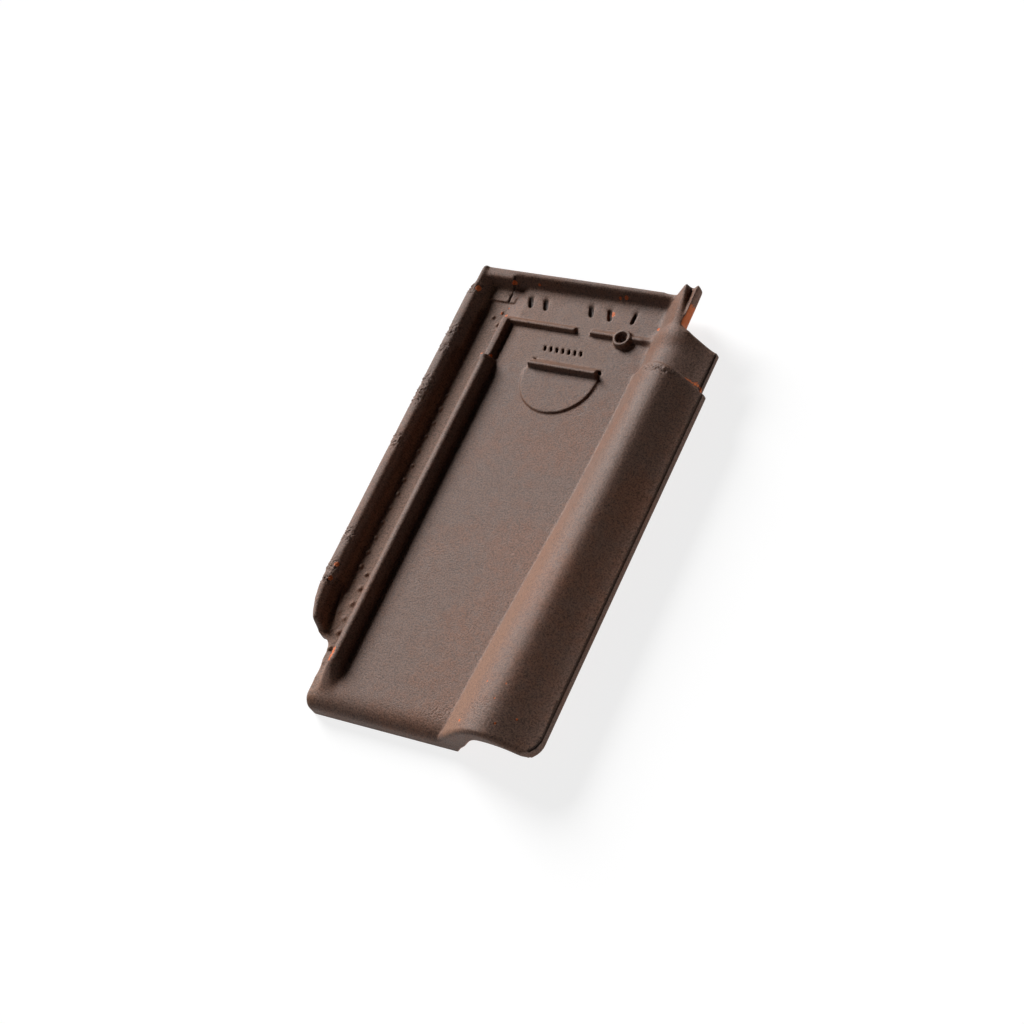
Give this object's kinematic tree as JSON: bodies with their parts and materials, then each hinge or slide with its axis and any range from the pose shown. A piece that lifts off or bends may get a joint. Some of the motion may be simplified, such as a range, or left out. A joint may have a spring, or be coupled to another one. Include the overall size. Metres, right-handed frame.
{
  "type": "clay roof tile",
  "caption": "Interlocking fired-clay roof tile with a flat pan, a tapered hollow roll, a side-lock channel, a forked head tongue, hanging nibs and a nail hole.",
  "frame": {"origin": "middle of the plan, at the level of the nose and nib bottoms", "axes": "+X across the tile from the side-lock channel to the roll, +Y up the roof from tail to head, +Z out of the weather face"},
  "size_m": [0.2444, 0.397, 0.0485],
  "materials": {
    "fired_clay": "matt brown slip on fired clay, dry and fine-grained, with orange clay where it is chipped"
  },
  "bodies": {
    "root": {"roof_tile": "fired_clay"}
  },
  "joints": []
}
